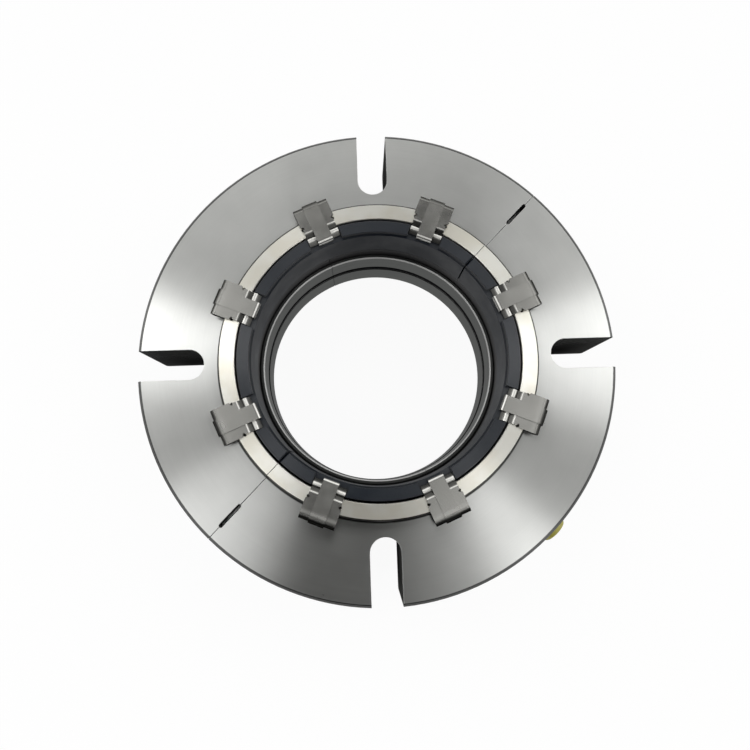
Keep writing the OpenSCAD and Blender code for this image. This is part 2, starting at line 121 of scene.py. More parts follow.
def both(tree, a, b):
    """The product of two masks: 1 where both are 1."""
    return calc(tree, "MULTIPLY", a, b)


def ramp(tree, value, low, high, to_low=0.0, to_high=1.0):
    """A smooth step of value from low to high."""
    return add(tree, "ShaderNodeMapRange",
               {"Value": value, "From Min": low, "From Max": high, "To Min": to_low, "To Max": to_high},
               interpolation_type="SMOOTHSTEP").outputs["Result"]


def mix_value(tree, share, a, b):
    """The number a where share is 0, and b where it is 1."""
    return add(tree, "ShaderNodeMix", {"Factor": share, "A": a, "B": b}, data_type="FLOAT").outputs["Result"]


def mix_colour(tree, share, a, b, **settings):
    """The colour a where share is 0, and b where it is 1."""
    return add(tree, "ShaderNodeMix", {"Factor": share, "A": a, "B": b},
               data_type="RGBA", **settings).outputs["Result"]


def round_axis(tree):
    """Where a point lies on its piece: its coordinates, the same without their height, and the
    distance from the shaft's axis."""
    axes = add(tree, "ShaderNodeSeparateXYZ", {0: add(tree, "ShaderNodeTexCoord").outputs["Object"]}).outputs
    flat = add(tree, "ShaderNodeCombineXYZ", {"X": axes["X"], "Y": axes["Y"]}).outputs[0]
    reach = add(tree, "ShaderNodeVectorMath", {0: flat}, operation="LENGTH").outputs["Value"]
    return axes, flat, reach


def new_group(name, inputs, outputs):
    """A shader node group with float inputs (name: default) and outputs (name: socket kind)."""
    tree = bpy.data.node_groups.new(name, "ShaderNodeTree")
    for key, value in inputs.items():
        socket = tree.interface.new_socket(key, in_out="INPUT", socket_type="NodeSocketFloat")
        socket.default_value = value
    for key, kind in outputs.items():
        tree.interface.new_socket(key, in_out="OUTPUT", socket_type="NodeSocket" + kind)
    return tree, tree.nodes.new("NodeGroupInput"), tree.nodes.new("NodeGroupOutput")


# %% [markdown]
# ## Effects that several finishes share
#
# Lathe-turned steel is covered with fine rings round the axis. They are too small to model, so one
# group, `lathe_rings`, makes a noise that changes fast with the distance from the axis and with
# height, and very slowly round the part.

# %% Group: rings left by the lathe
rings, rings_in, rings_out = new_group(
    "lathe_rings", {"Rings per mm": 4.0, "Uneven": 0.5},
    {"Fine": "Float", "Broad": "Float"})
DRIFT_PER_M = 14
axes, _, reach = round_axis(rings)
per_m = calc(rings, "MULTIPLY", rings_in.outputs["Rings per mm"], 1000)
noise_at = add(rings, "ShaderNodeCombineXYZ", {
    "X": calc(rings, "MULTIPLY", reach, per_m),
    "Y": calc(rings, "MULTIPLY", axes["Z"], per_m),
    "Z": calc(rings, "MULTIPLY", axes["X"], DRIFT_PER_M)})
drift = calc(rings, "MULTIPLY", axes["Y"], DRIFT_PER_M)
fine = add(rings, "ShaderNodeTexNoise",
           {"Vector": noise_at.outputs[0], "W": drift, "Scale": 1.0, "Detail": 3.0, "Roughness": 0.65},
           noise_dimensions="4D")
slow_at = add(rings, "ShaderNodeVectorMath", {0: noise_at.outputs[0], 1: (0.11, 0.11, 1.0)},
              operation="MULTIPLY")
broad = add(rings, "ShaderNodeTexNoise",
            {"Vector": slow_at.outputs[0], "W": drift, "Scale": 1.0, "Detail": 2.0},
            noise_dimensions="4D")
sway = calc(rings, "MULTIPLY", calc(rings, "SUBTRACT", broad.outputs["Fac"], 0.5),
            rings_in.outputs["Uneven"])
rings.links.new(fine.outputs["Fac"], rings_out.inputs["Fine"])
rings.links.new(calc(rings, "ADD", sway, 0.5), rings_out.inputs["Broad"])
print("group", rings.name, "has", len(rings.nodes), "nodes")

# %% Group: use marks, as fine scratches and smudges
marks, marks_in, marks_out = new_group(
    "use_marks", {"Scratches per mm": 0.25, "Smudge mm": 18.0}, {"Scratch": "Float", "Smudge": "Float"})
place = add(marks, "ShaderNodeTexCoord").outputs["Object"]
bend = add(marks, "ShaderNodeTexNoise", {"Vector": place, "Scale": 60.0, "Detail": 1.0})
bent_place = add(marks, "ShaderNodeVectorMath",
                 {0: bend.outputs["Color"], 1: (0.012, 0.012, 0.012), 2: place}, operation="MULTIPLY_ADD")
cells = add(marks, "ShaderNodeTexVoronoi",
            {"Vector": bent_place.outputs[0],
             "Scale": calc(marks, "MULTIPLY", marks_in.outputs["Scratches per mm"], 1000)},
            feature="DISTANCE_TO_EDGE")
patchy = add(marks, "ShaderNodeTexNoise", {"Vector": place, "Scale": 130.0, "Detail": 2.0})
line = ramp(marks, cells.outputs["Distance"], 0.0, 0.02, 1.0, 0.0)
here = ramp(marks, patchy.outputs["Fac"], 0.56, 0.66)
smudge_scale = calc(marks, "DIVIDE", 1000, marks_in.outputs["Smudge mm"])
smudge = add(marks, "ShaderNodeTexNoise", {"Vector": place, "Scale": smudge_scale, "Detail": 4.0})
marks.links.new(calc(marks, "MULTIPLY", line, here), marks_out.inputs["Scratch"])
marks.links.new(smudge.outputs["Fac"], marks_out.inputs["Smudge"])
print("group", marks.name, "has", len(marks.nodes), "nodes")

# %% [markdown]
# A sharp CAD edge looks unreal: a real edge is broken by a file and reflects a thin line of light.
# The group `broken_edge` asks the Bevel node for a normal that is rounded near edges, and compares
# it with the true one, which also gives a mask of where the edges are.

# %% Group: broken edges
def rounded_edge(tree, radius):
    """A mask of where the edges are, and a normal rounded within radius of them."""
    soft = add(tree, "ShaderNodeBevel", {"Radius": radius}, samples=6).outputs[0]
    true_normal = add(tree, "ShaderNodeNewGeometry").outputs["Normal"]
    same = add(tree, "ShaderNodeVectorMath", {0: soft, 1: true_normal}, operation="DOT_PRODUCT")
    return ramp(tree, same.outputs["Value"], 0.995, 0.85), soft


edges, edges_in, edges_out = new_group(
    "broken_edge", {"Radius mm": 0.25}, {"Mask": "Float", "Normal": "Vector"})
edge_mask, edge_normal = rounded_edge(edges, calc(edges, "MULTIPLY", edges_in.outputs[0], MM))
edges.links.new(edge_mask, edges_out.inputs["Mask"])
edges.links.new(edge_normal, edges_out.inputs["Normal"])
print("group", edges.name, "has", len(edges.nodes), "nodes")

# %% [markdown]
# Every finish here starts from one Principled shader. Its plain numbers stay on its own sockets, and
# only what changes over the surface is linked, so that the materials can also be baked for export.

# %% Start of each material
def new_material(name, color, **shader):
    """A material with a Principled shader: colour and plain values are set on its own sockets."""
    material = bpy.data.materials.new(name)
    material.use_nodes = True
    tree = material.node_tree
    surface = tree.nodes["Principled BSDF"]
    surface.inputs["Base Color"].default_value = (*color, 1)
    for key, value in shader.items():
        surface.inputs[key.replace("_", " ")].default_value = value
    material.diffuse_color = (*color, 1)
    return material, tree, surface


def use(tree, group, **values):
    """Puts a shared group into a material with its own values."""
    made = tree.nodes.new("ShaderNodeGroup")
    made.node_tree = group
    for key, value in values.items():
        made.inputs[key.replace("_", " ")].default_value = value
    return made


def tint(tree, shade, dark, light):
    """Mixes two colours by a value from 0 to 1."""
    return mix_colour(tree, shade, (*dark, 1), (*light, 1))


def bump(tree, surface, height, depth_mm, normal=None):
    """Feeds a height, as deep as depth_mm, to the shader's normal."""
    sockets = {"Height": height, "Distance": depth_mm * MM, "Strength": 1.0}
    if normal is not None:
        sockets["Normal"] = normal
    tree.links.new(add(tree, "ShaderNodeBump", sockets).outputs[0], surface.inputs["Normal"])


def dress(material, *nodes):
    """Gives CAD nodes a material in place of their plain one."""
    for node in nodes:
        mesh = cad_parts[node].data
        mesh.materials.clear()
        mesh.materials.append(material)


# %% [markdown]
# ## Turned stainless steel of the gland
#
# The gland is the big slotted ring in two halves. Its face is finished on a lathe, so the shader is
# anisotropic, with its tangent across the rings: each lamp then draws a bright fan from the axis to
# the rim. The raised lip was finished by a slower cut, so a mask by height makes it rougher, paler
# and a little yellow. Other masks, worked out from the distance to the axis, the height and the tilt
# of the surface, paint shade on the milled walls of the slots, the chamfer at the rim, the corner
# under the lip and the lip's fine bevel, and paint spots of shadow under the springs' nicks.

# %% Turned metal
def across_rings(tree):
    """The direction across the lathe's rings, in which they smear reflections, for the shader's
    tangent: level with the face and square to a circle round the axis."""
    flat = round_axis(tree)[1]
    along = add(tree, "ShaderNodeVectorMath", {0: (0, 0, 1), 1: flat}, operation="CROSS_PRODUCT")
    along_world = add(tree, "ShaderNodeVectorTransform", {0: along.outputs[0]},
                      vector_type="VECTOR", convert_from="OBJECT", convert_to="WORLD")
    facing = add(tree, "ShaderNodeNewGeometry").outputs["Normal"]
    across = add(tree, "ShaderNodeVectorMath", {0: along_world.outputs[0], 1: facing},
                 operation="CROSS_PRODUCT")
    return add(tree, "ShaderNodeVectorMath", {0: across.outputs[0]}, operation="NORMALIZE").outputs[0]


def turned_steel(name, dark, light, low_rough, high_rough, ring_mm, depth_mm, anisotropic):
    """Turned metal: ring noise in colour, roughness and height, and reflections smeared across it.
    Returns the material, its tree and shader, and the sockets of colour, roughness and smudges."""
    material, tree, surface = new_material(name, light, Metallic=1.0, Anisotropic=anisotropic)
    ring = use(tree, rings, Rings_per_mm=ring_mm)
    wear = use(tree, marks)
    edge = use(tree, edges)
    fine, broad, smudge = ring.outputs["Fine"], ring.outputs["Broad"], wear.outputs["Smudge"]
    shade = calc(tree, "MULTIPLY_ADD", fine, 0.35, calc(tree, "MULTIPLY", broad, 0.15))
    shade = calc(tree, "MULTIPLY_ADD", smudge, 0.5, shade)
    # Edges get a lighter colour: partly wear, partly a painted highlight.
    tone_with_painted_light = calc(tree, "ADD", shade, calc(tree, "MULTIPLY", edge.outputs["Mask"], 0.3), clamp=True)
    colour = tint(tree, tone_with_painted_light, dark, light)
    tree.links.new(colour, surface.inputs["Base Color"])
    rough = calc(tree, "MULTIPLY_ADD", smudge, 0.3, calc(tree, "MULTIPLY", broad, 0.7))
    roughness = ramp(tree, rough, 0.3, 0.7, low_rough, high_rough)
    tree.links.new(roughness, surface.inputs["Roughness"])
    tree.links.new(across_rings(tree), surface.inputs["Tangent"])
    bump(tree, surface, fine, depth_mm, edge.outputs["Normal"])
    return material, tree, surface, colour, roughness, smudge


def darkened(tree, surface, colour, mask, shade):
    """Where mask is 1, multiplies the colour by shade: returns the new colour socket."""
    made = mix_colour(tree, mask, colour, (*shade, 1), blend_type="MULTIPLY")
    tree.links.new(made, surface.inputs["Base Color"])
    return made


def upright_share(tree):
    """1 on level faces and 0 on walls: the size of the normal's height."""
    normal = add(tree, "ShaderNodeSeparateXYZ", {0: add(tree, "ShaderNodeNewGeometry").outputs["Normal"]})
    return calc(tree, "ABSOLUTE", normal.outputs["Z"])


def dull_edge(tree, surface, mask, shade):
    """Metal seen along its surface turns white. Where mask is 1, the tint keeps those reflections dark
    instead: painted shade.
    """
    tree.links.new(mix_colour(tree, mask, (1, 1, 1, 1), (*shade, 1)), surface.inputs["Specular Tint"])


gland_steel, tree, surface, colour, roughness, smudge = turned_steel(
    "gland_steel", (0.54, 0.545, 0.53), (0.77, 0.775, 0.755), 0.27, 0.31, 5.0, 0.002, 0.92)

# %% Painted shadow under the springs' nicks, on the lip
NICK_OUT, NICK_ASIDE = 0.0745, 0.0082


def nick_shadow(tree, axes, reach):
    """Spots of painted shadow under the springs' nicks, where the lip lies in shade. The angle is folded
    into one eighth of a turn, so one spot, NICK_OUT from the axis and NICK_ASIDE to the side, shows at
    all eight springs, with its mirror image."""
    eighth = math.pi / 4
    angle = calc(tree, "ARCTAN2", axes["Y"], axes["X"])
    folded = calc(tree, "SUBTRACT", calc(tree, "FLOORED_MODULO", angle, eighth), eighth / 2)
    out = calc(tree, "SUBTRACT", calc(tree, "MULTIPLY", reach, calc(tree, "COSINE", folded)), NICK_OUT)
    aside = calc(tree, "ABSOLUTE", calc(tree, "MULTIPLY", reach, calc(tree, "SINE", folded)))
    spot = add(tree, "ShaderNodeCombineXYZ", {"X": out, "Y": calc(tree, "SUBTRACT", aside, NICK_ASIDE)})
    away = add(tree, "ShaderNodeVectorMath", {0: spot.outputs[0]}, operation="LENGTH").outputs["Value"]
    return both(tree, ramp(tree, away, 0.0008, 0.0006), ramp(tree, axes["Z"], 0.0525, 0.0530))


# %% Masks on the gland: milled slots, outer bevel, corner under the lip, lip and its bevel
axes, _, reach = round_axis(tree)
upright = upright_share(tree)
on_wall = ramp(tree, upright, 0.6, 0.4)
past_slot_end = both(tree, ramp(tree, reach, 0.0862, 0.0866), ramp(tree, reach, 0.1199, 0.1196))
in_slot = both(tree, on_wall, past_slot_end)
at_rim = both(tree, ramp(tree, reach, 0.1181, 0.1184), ramp(tree, upright, 0.3, 0.5))
by_lip = both(tree, ramp(tree, reach, 0.0808, 0.0801), ramp(tree, axes["Z"], 0.0476, 0.0472))
on_lip = both(tree, ramp(tree, axes["Z"], 0.0525, 0.0530), calc(tree, "SUBTRACT", 1.0, on_wall))
on_bevel = both(tree, ramp(tree, axes["Z"], 0.0522, 0.0525),
                both(tree, ramp(tree, reach, 0.0781, 0.0783), ramp(tree, upright, 0.92, 0.85)))

# %% The gland's colour and roughness by those masks
# Painted shade: the walls of the slots are darkened.
colour = darkened(tree, surface, colour, in_slot, (0.07, 0.07, 0.07))
# Painted shade on the chamfer at the rim.
colour = darkened(tree, surface, colour, at_rim, (0.16, 0.16, 0.16))
# Painted shade in the corner under the lip.
colour = darkened(tree, surface, colour, by_lip, (0.06, 0.06, 0.06))
lip_colour = tint(tree, ramp(tree, smudge, 0.35, 0.65), (0.90, 0.87, 0.77), (0.98, 0.97, 0.90))
colour = mix_colour(tree, on_lip, colour, lip_colour)
# Painted shade on the lip's outer bevel.
colour = darkened(tree, surface, colour, on_bevel, (0.1, 0.1, 0.1))
# Spots of painted shadow under the nicks.
darkened(tree, surface, colour, nick_shadow(tree, axes, reach), (0.03, 0.03, 0.03))
LIP_ROUGH, SLOT_ROUGH = 0.42, 0.6
roughness = mix_value(tree, in_slot, mix_value(tree, on_lip, roughness, LIP_ROUGH), SLOT_ROUGH)
tree.links.new(roughness, surface.inputs["Roughness"])
# Painted shade: the slot walls' grazing reflections are kept dark.
dull_edge(tree, surface, in_slot, (0.12, 0.12, 0.13))
dress(gland_steel, "gland_half_a", "gland_half_b")
print("gland dressed")

# %% [markdown]
# ## Holder, screws and pins
#
# The holder clamps on the shaft, deep inside. Its nose, a fine bevel at its mouth, is painted as a
# bright highlight line, and the walls beside its O-ring are painted dark as shade. Both are masks
# again, by the tilt of the surface and by height. A wall seen along its surface would mirror the white
# floor, so the tint of its reflections is dark there. Screws and pins are hidden and get plain turned
# finishes.

# %% Holder steel
RING_HEIGHT = 0.0063
holder_steel, tree, surface, colour = turned_steel(
    "holder_steel", (0.11, 0.113, 0.11), (0.17, 0.174, 0.17), 0.25, 0.38, 3.0, 0.003, 0.8)[:4]
upright = upright_share(tree)
on_nose = ramp(tree, calc(tree, "ABSOLUTE", calc(tree, "SUBTRACT", upright, 0.45)), 0.2, 0.1)
# Painted highlight on the nose.
colour = mix_colour(tree, on_nose, colour, (0.52, 0.52, 0.51, 1))
off_ring = calc(tree, "ABSOLUTE", calc(tree, "SUBTRACT", round_axis(tree)[0]["Z"], RING_HEIGHT))
on_wall = ramp(tree, upright, 0.4, 0.3)
by_ring = both(tree, ramp(tree, off_ring, 0.0028, 0.0024), on_wall)
# Painted shade on the walls beside the O-ring.
darkened(tree, surface, colour, by_ring, (0.02, 0.02, 0.02))
wall_tint = tint(tree, by_ring, (0.4, 0.4, 0.4), (0.02, 0.02, 0.02))
tree.links.new(mix_colour(tree, on_wall, (1, 1, 1, 1), wall_tint), surface.inputs["Specular Tint"])
dress(holder_steel, "holder_half_a", "holder_half_b")
print("holder dressed")

# %% Screws and pins
screw_steel = turned_steel(
    "screw_steel", (0.10, 0.10, 0.105), (0.20, 0.20, 0.205), 0.35, 0.5, 2.0, 0.004, 0.0)[0]
dress(screw_steel, "gland_screw_a", "gland_screw_b", "holder_screw_a", "holder_screw_b")
pin_steel = turned_steel(
    "pin_steel", (0.50, 0.50, 0.51), (0.60, 0.60, 0.61), 0.2, 0.3, 4.0, 0.002, 0.0)[0]
dress(pin_steel, "drive_pin_a", "drive_pin_b")
print("screws and pins dressed")

# %% [markdown]
# ## Carbide, carbon and rubber
#
# The stationary ring is silicon carbide: a ground ceramic, nearly black with a blue cast, and ground
# in circles, so it too smears the lamps into faint fans. The rotary ring is carbon, a warmer black
# with a softer sheen. One function makes both, from a speckled colour, rings, scratches and painted
# shade along the edges. The O-rings are black rubber that is hidden deep and shines hardly at all.

# %% Carbide and carbon
GROUND_EDGE_MM = 0.2


def ground_ceramic(name, dark, light, rough, grain_mm, scratch):
    """A ground hard face: speckled colour, faint scratches, a soft sheen and painted shade along its edges.
    """
    material, tree, surface = new_material(name, light, Specular_IOR_Level=0.75, Anisotropic=0.9)
    ring = use(tree, rings, Rings_per_mm=2.0)
    tree.links.new(across_rings(tree), surface.inputs["Tangent"])
    wear = use(tree, marks, Scratches_per_mm=0.35)
    edge = use(tree, edges, Radius_mm=GROUND_EDGE_MM)
    place = add(tree, "ShaderNodeTexCoord").outputs["Object"]
    grain = add(tree, "ShaderNodeTexNoise", {"Vector": place, "Scale": 1000 / grain_mm, "Detail": 3.0})
    shade = calc(tree, "MULTIPLY_ADD", grain.outputs["Fac"], 0.5,
                 calc(tree, "MULTIPLY", ring.outputs["Broad"], 0.35))
    lines = calc(tree, "MULTIPLY", wear.outputs["Scratch"], scratch)
    # Painted shade: edges are darkened.
    lines = calc(tree, "MULTIPLY_ADD", edge.outputs["Mask"], -0.5, lines)
    shade = calc(tree, "ADD", shade, lines, clamp=True)
    tree.links.new(tint(tree, shade, dark, light), surface.inputs["Base Color"])
    spread = ramp(tree, wear.outputs["Smudge"], 0.3, 0.7, rough - 0.08, rough + 0.08)
    on_wall = ramp(tree, upright_share(tree), 0.5, 0.3, 0.0, 0.25)
    tree.links.new(calc(tree, "ADD", spread, on_wall), surface.inputs["Roughness"])
    # Painted shade: reflections at the edges are kept dark.
    dull_edge(tree, surface, rounded_edge(tree, GROUND_EDGE_MM * MM)[0], (0.1, 0.1, 0.1))
    bump(tree, surface, grain.outputs["Fac"], 0.01, edge.outputs["Normal"])
    return material


carbide = ground_ceramic("carbide", (0.002, 0.004, 0.007), (0.012, 0.017, 0.026), 0.36, 0.5, 0.5)
dress(carbide, "stationary_half_a", "stationary_half_b")
carbon = ground_ceramic("carbon", (0.008, 0.008, 0.009), (0.024, 0.024, 0.026), 0.42, 0.4, 0.3)
dress(carbon, "rotary_half_a", "rotary_half_b")
print("carbide and carbon dressed")

# %% Rubber and gasket
def moulded_rubber(name, color, rough, shine=0.2):
    """Black rubber: a faint bloom of dust and a fine moulded skin."""
    material, tree, surface = new_material(name, color, Specular_IOR_Level=shine)
    wear = use(tree, marks, Smudge_mm=6.0)
    place = add(tree, "ShaderNodeTexCoord").outputs["Object"]
    skin = add(tree, "ShaderNodeTexNoise", {"Vector": place, "Scale": 4000.0, "Detail": 2.0})
    dusty = tuple(min(1.0, c * 1.6 + 0.006) for c in color)
    bloom = ramp(tree, wear.outputs["Smudge"], 0.4, 0.75)
    tree.links.new(tint(tree, bloom, color, dusty), surface.inputs["Base Color"])
    spread = ramp(tree, skin.outputs["Fac"], 0.2, 0.8, rough - 0.1, rough + 0.1)
    tree.links.new(spread, surface.inputs["Roughness"])
    bump(tree, surface, skin.outputs["Fac"], 0.01)
    return material


o_ring_rubber = moulded_rubber("o_ring_rubber", (0.004, 0.004, 0.005), 0.6, 0.02)
dress(o_ring_rubber, "shaft_o_ring", "rotary_o_ring", "stationary_o_ring")
cord_rubber = moulded_rubber("cord_rubber", (0.016, 0.016, 0.017), 0.6)
dress(cord_rubber, "gland_cord_a", "gland_cord_b", "holder_cord_a", "holder_cord_b")
gasket_fibre = moulded_rubber("gasket_fibre", (0.035, 0.035, 0.036), 0.75)
dress(gasket_fibre, "face_gasket_a", "face_gasket_b")
print("rubber dressed")

# %% [markdown]
# ## Bent sheet
#
# Every spring is one strip of spring steel folded over the lip. Its side view is a line of straight
# runs and round bends. `bent_line` works that line out, and the strip is that line carried across
# its width: a surface of two parameters, the way along the line and the way across the strip. The
# Solidify modifier then gives it its thickness, and a small bevel breaks its edges.

# %% A bent line
def bent_line(stops, turn_step=6.0):
    """Points (n, 2) in mm. At each inner stop (r, z, bend radius) the corner becomes an arc: its centre
    lies on the line that halves the corner, radius / sin(half the corner's angle) away."""
    at = np.array([stop[:2] for stop in stops])
    run = [at[:1]]
    for i in range(1, len(stops) - 1):
        back = (at[i - 1] - at[i]) / np.linalg.norm(at[i - 1] - at[i])
        ahead = (at[i + 1] - at[i]) / np.linalg.norm(at[i + 1] - at[i])
        half = math.acos(back @ ahead) / 2
        bend = stops[i][2]
        middle = at[i] + (back + ahead) / np.linalg.norm(back + ahead) * bend / math.sin(half)
        start = at[i] + back * bend / math.tan(half) - middle
        end = at[i] + ahead * bend / math.tan(half) - middle
        turn = math.atan2(start[0] * end[1] - start[1] * end[0], start @ end)
        steps = np.linspace(0, turn, max(3, round(abs(math.degrees(turn)) / turn_step) + 1))
        angle = math.atan2(start[1], start[0]) + steps
        run.append(middle + bend * np.column_stack([np.cos(angle), np.sin(angle)]))
    run.append(at[-1:])
    return np.concatenate(run)


def way_along(points):
    """Length along a line up to each of its points."""
    return np.concatenate([[0], np.cumsum(np.linalg.norm(np.diff(points, axis=0), axis=1))])


def filled_in(points, longest):
    """The same line with more points on its straight runs, none further apart than longest."""
    s = way_along(points)
    extra = np.linspace(0, s[-1], int(s[-1] / longest) + 2)
    s_all = np.unique(np.round(np.concatenate([s, extra]), 4))
    return np.column_stack([np.interp(s_all, s, points[:, k]) for k in (0, 1)])


# %% Sizes of the sheets, in mm: those of the CAD model, but for the knee, the crest and the clip's tab
SHEET = 0.7
LIP_TOP, LIP_OUT, THROAT = 53.4, 79.2, 70.9
OVERHANG = LIP_TOP - 3.0
NOTCH_FLOOR = 51.13
RING_IN = 63.0
HOLD_GAP = 0.02
LOW, HIGH = OVERHANG - HOLD_GAP - SHEET / 2, LIP_TOP + HOLD_GAP + SHEET / 2
FLAT = HIGH + 1.2
KNEE_R = THROAT + 1.15
EDGE = (THROAT ** 2 - 8.2 ** 2) ** 0.5
LEG_END = LIP_OUT - 5.7 + 1.1
BEND_R = LIP_OUT + 3.6
WRAP = (FLAT - LOW) / 2
ROUND = 0.92
STEP_R = LIP_OUT - 4.7
ROOT_R = THROAT + 2.2
WIDE, FINGERS, SLOT, CLIP = 9.0, 8.2, 3.6, 3.9

finger_line = filled_in(bent_line([
    (LEG_END, LOW, 0), (BEND_R + WRAP, LOW, WRAP * ROUND), (BEND_R + WRAP, FLAT, WRAP * ROUND),
    (KNEE_R, FLAT, 0.6), (EDGE - 0.65, LIP_TOP - 0.25, 0.5), (EDGE - 2.5, LIP_TOP + 0.8, 1.3),
    (65.68, NOTCH_FLOOR + 0.1 + SHEET / 2, 0)]), 0.5)
lift = SHEET + HOLD_GAP
clip_wrap = WRAP + lift
tab_r = RING_IN + 0.95 + SHEET / 2
clip_line = filled_in(bent_line([
    (LEG_END, LOW - lift, 0), (BEND_R + clip_wrap, LOW - lift, clip_wrap * ROUND),
    (BEND_R + clip_wrap, FLAT + lift, clip_wrap * ROUND), (tab_r, FLAT + lift, 0.9),
    (tab_r, NOTCH_FLOOR + 0.1, 0)]), 0.5)
print("a finger spring is", round(way_along(finger_line)[-1], 1), "mm of sheet,",
      "a clip", round(way_along(clip_line)[-1], 1), "mm")

# %% Grids turned into meshes
def grid_faces(rows, columns, keep):
    """Corner numbers of each quad of a grid of rows x columns points, where keep is true."""
    corner = np.arange(rows * columns).reshape(rows, columns)
    quads = np.stack([corner[:-1, :-1], corner[:-1, 1:], corner[1:, 1:], corner[1:, :-1]], axis=-1)
    return quads[keep]


def mesh_object(name, points, faces, material, painted_light=None):
    """A smooth mesh object from arrays of points in metres and of faces, linked to the scene. The optional
    last argument has a value for each point, of painted shade or highlight, kept as an attribute for the
    material."""
    used, faces = np.unique(faces, return_inverse=True)
    mesh = bpy.data.meshes.new(name)
    mesh.from_pydata(points[used], [], faces.reshape(-1, 4))
    if painted_light is not None:
        mesh.attributes.new("painted_light", "FLOAT", "POINT").data.foreach_set("value", painted_light[used].astype(np.float32))
    mesh.materials.append(material)
    mesh.shade_smooth()
    made = bpy.data.objects.new(name, mesh)
    bpy.context.collection.objects.link(made)
    return made


def strip(line, across, turn, keep=None):
    """Points of a strip: the line's (r, z) at each row, and across, an array rows x columns of sideways
    places, turned about the axis by the angle turn, in metres."""
    r, z = line[:, :1], line[:, 1:]
    x = r * math.cos(turn) - across * math.sin(turn)
    y = r * math.sin(turn) + across * math.cos(turn)
    points = np.stack([x, y, np.broadcast_to(z, x.shape)], axis=-1).reshape(-1, 3) * MM
    rows, columns = across.shape
    if keep is None:
        keep = np.ones((rows - 1, columns - 1), bool)
    return points, grid_faces(rows, columns, keep)


# %% [markdown]
# ## Finish of the sheet
#
# Rolled strip has grain along its length, which here means straight out from the axis. It is
# smooth enough to mirror the room softly, so each flat shows one even tone. Shade and highlights on
# the bends are painted: the big bend dark, the ridge of each finger pale and the dip beside it dark.
# That follows the bent line and not the place in the room, so it is worked out for each row of the
# strip and kept in the mesh as an attribute, which the material then reads.

# %% Sheet steel
def sheet_steel(name, dark, light, rough):
    """Rolled strip: faint grain that runs away from the axis, and darker cut edges. The mesh attribute it
    reads paints shade where it is above 0, up to 1. Below 0 it paints a highlight: a pale, less metallic
    colour that looks bright from every side."""
    material, tree, surface = new_material(name, light, Metallic=1.0)
    axes, flat, reach = round_axis(tree)
    angle = calc(tree, "ARCTAN2", axes["Y"], axes["X"])
    grain_at = add(tree, "ShaderNodeCombineXYZ", {
        "X": calc(tree, "MULTIPLY", angle, 900), "Y": calc(tree, "MULTIPLY", reach, 120),
        "Z": calc(tree, "MULTIPLY", axes["Z"], 120)})
    grain = add(tree, "ShaderNodeTexNoise", {"Vector": grain_at.outputs[0], "Scale": 1.0, "Detail": 3.0})
    wear = use(tree, marks, Scratches_per_mm=0.5, Smudge_mm=7.0)
    shade = calc(tree, "MULTIPLY_ADD", grain.outputs["Fac"], 0.7,
                 calc(tree, "MULTIPLY", wear.outputs["Smudge"], 0.2))
    colour = tint(tree, shade, dark, light)
    along = add(tree, "ShaderNodeVectorMath", {0: (0, 0, 1), 1: flat}, operation="CROSS_PRODUCT")
    along = add(tree, "ShaderNodeVectorMath", {0: along.outputs[0]}, operation="NORMALIZE")
    facing = add(tree, "ShaderNodeNewGeometry").outputs["Normal"]
    sideways = add(tree, "ShaderNodeVectorMath", {0: along.outputs[0], 1: facing}, operation="DOT_PRODUCT")
    cut = ramp(tree, calc(tree, "ABSOLUTE", sideways.outputs["Value"]), 0.5, 0.8)
    colour = darkened(tree, surface, colour, cut, (0.3, 0.31, 0.29))
    tone_with_painted_light = add(tree, "ShaderNodeAttribute", attribute_name="painted_light").outputs["Fac"]
    painted_light = calc(tree, "MAXIMUM", tone_with_painted_light, 0.0)
    painted_highlight = calc(tree, "MAXIMUM", calc(tree, "MULTIPLY", tone_with_painted_light, -1.0), 0.0)
    # Painted shade where the attribute is above 0.
    colour = darkened(tree, surface, colour, painted_light, (0.02, 0.021, 0.019))
    # Painted highlight where the attribute is below 0.
    tree.links.new(mix_colour(tree, painted_highlight, colour, (0.93, 0.92, 0.88, 1)), surface.inputs["Base Color"])
    tree.links.new(calc(tree, "MULTIPLY_ADD", painted_highlight, -0.6, 1.0), surface.inputs["Metallic"])
    dull_edge(tree, surface, painted_light, (0.15, 0.15, 0.15))
    spread = ramp(tree, wear.outputs["Smudge"], 0.3, 0.7, rough - 0.01, rough + 0.02)
    tree.links.new(calc(tree, "MULTIPLY_ADD", painted_highlight, 0.15, spread), surface.inputs["Roughness"])
    bump(tree, surface, grain.outputs["Fac"], 0.0005)
    return material


spring_steel = sheet_steel("spring_sheet", (0.47, 0.465, 0.44), (0.56, 0.555, 0.525), 0.22)
clip_steel = sheet_steel("clip_sheet", (0.47, 0.465, 0.44), (0.56, 0.555, 0.525), 0.25)

# %% Finishing of a sheet piece
def finish_sheet(piece, node):
    """Thickness and broken edges. The plain CAD node is hidden, and the piece's place is kept in its mesh."""
    thick = piece.modifiers.new("thickness", "SOLIDIFY")
    thick.thickness = SHEET * MM
    thick.offset = 0
    thick.use_even_offset = True
    bevel = piece.modifiers.new("broken edges", "BEVEL")
    bevel.width = 0.05 * MM
    bevel.segments = 2
    bevel.limit_method = "ANGLE"
    bevel.angle_limit = math.radians(50)
    bevel.harden_normals = True
    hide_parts(node)
    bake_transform(piece)


# %% [markdown]
# ## Finger springs
#
# The wide leaf hooks under the lip, wraps round its outer edge and comes back over it. Past the lip
# it gets narrower, with a small round nick on each side that stops cracks, and splits into two
# fingers. They dip, rise to a crest that gets a painted highlight, and press on the floor of their
# notch in the ring.

